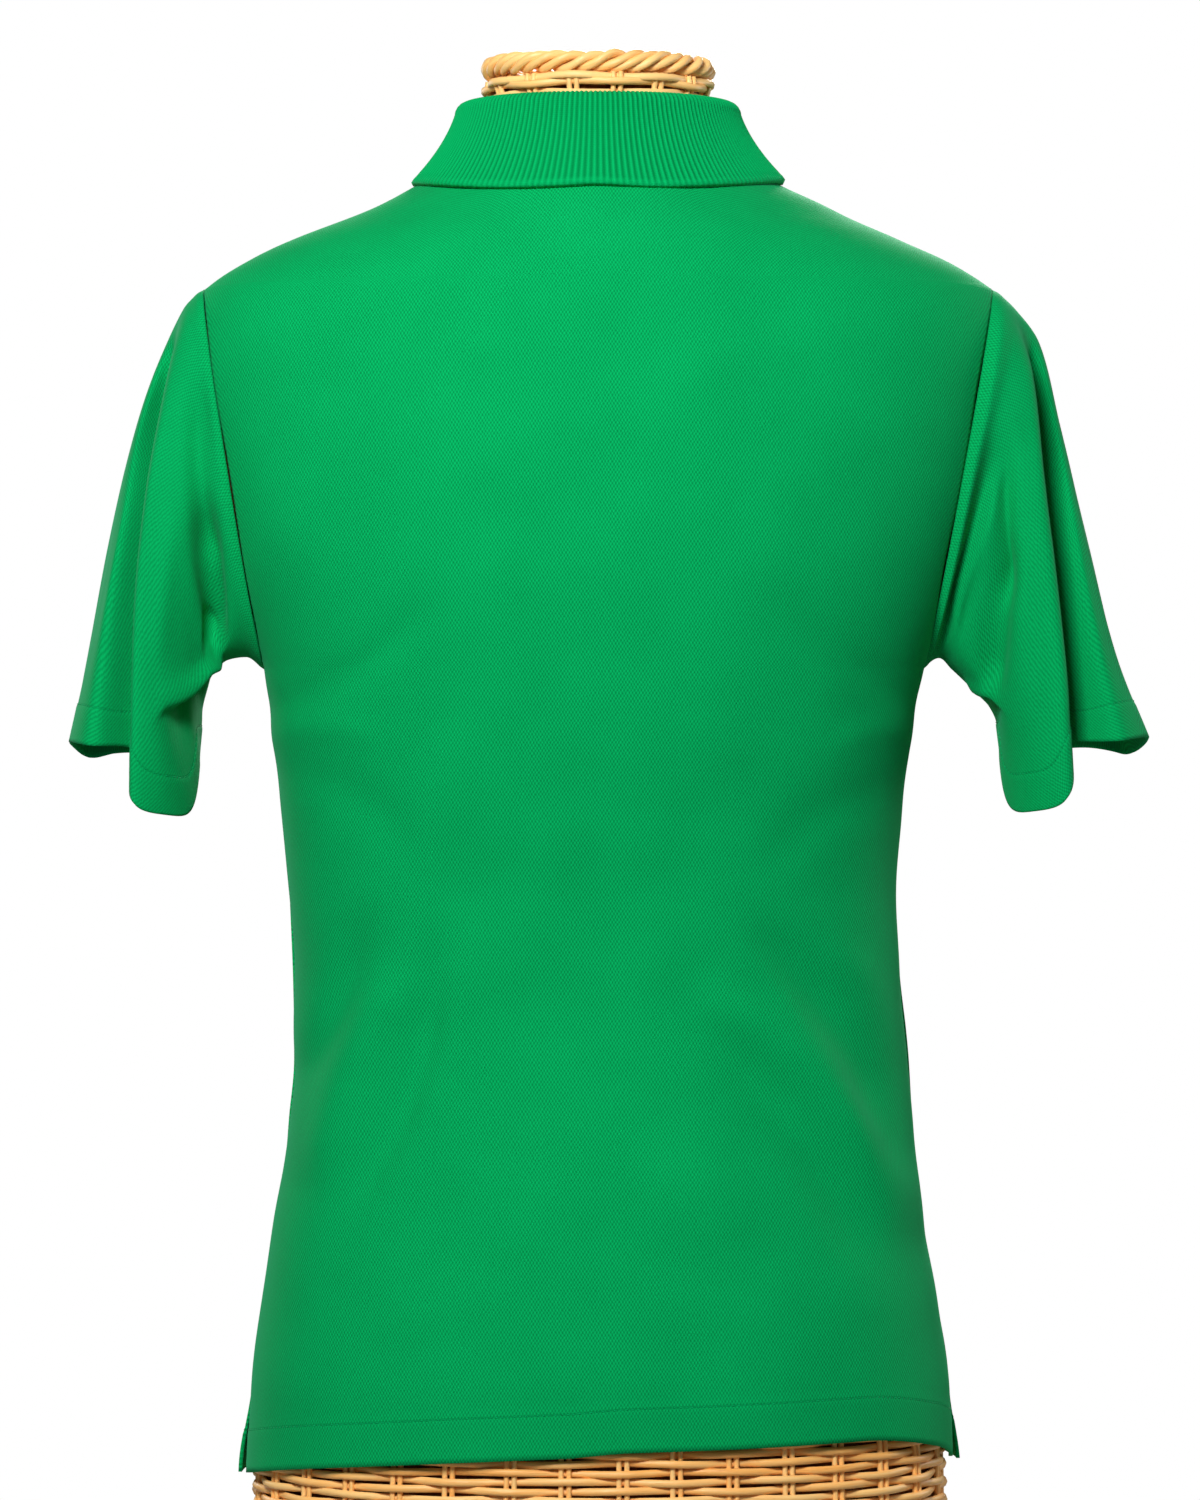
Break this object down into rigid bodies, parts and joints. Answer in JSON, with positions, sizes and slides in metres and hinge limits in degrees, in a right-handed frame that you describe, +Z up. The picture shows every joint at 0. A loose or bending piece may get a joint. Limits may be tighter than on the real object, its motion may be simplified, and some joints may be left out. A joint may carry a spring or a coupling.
{
  "type": "polo shirt on a wicker dress form",
  "caption": "Green short-sleeved polo shirt with a ribbed collar, worn by a limbless dress form of woven wicker that stands on its flat base.",
  "frame": {"origin": "middle of the dress form's flat base", "axes": "+Z up, the shirt's back faces +Y, its front faces -Y, the wearer's left is +X"},
  "size_m": [0.5884, 0.2523, 0.871],
  "materials": {
    "pique": "matt cotton pique knit",
    "rib": "matt ribbed cotton knit",
    "button": "satin",
    "wicker": "varnished rattan weave"
  },
  "bodies": {
    "root": {"back": "pique", "front": "pique", "sleeve_left": "pique", "sleeve_right": "pique", "collar": "rib", "placket_over": "pique", "placket_under": "pique", "button_1": "button", "button_2": "button", "button_3": "button", "form": "wicker"}
  },
  "joints": []
}
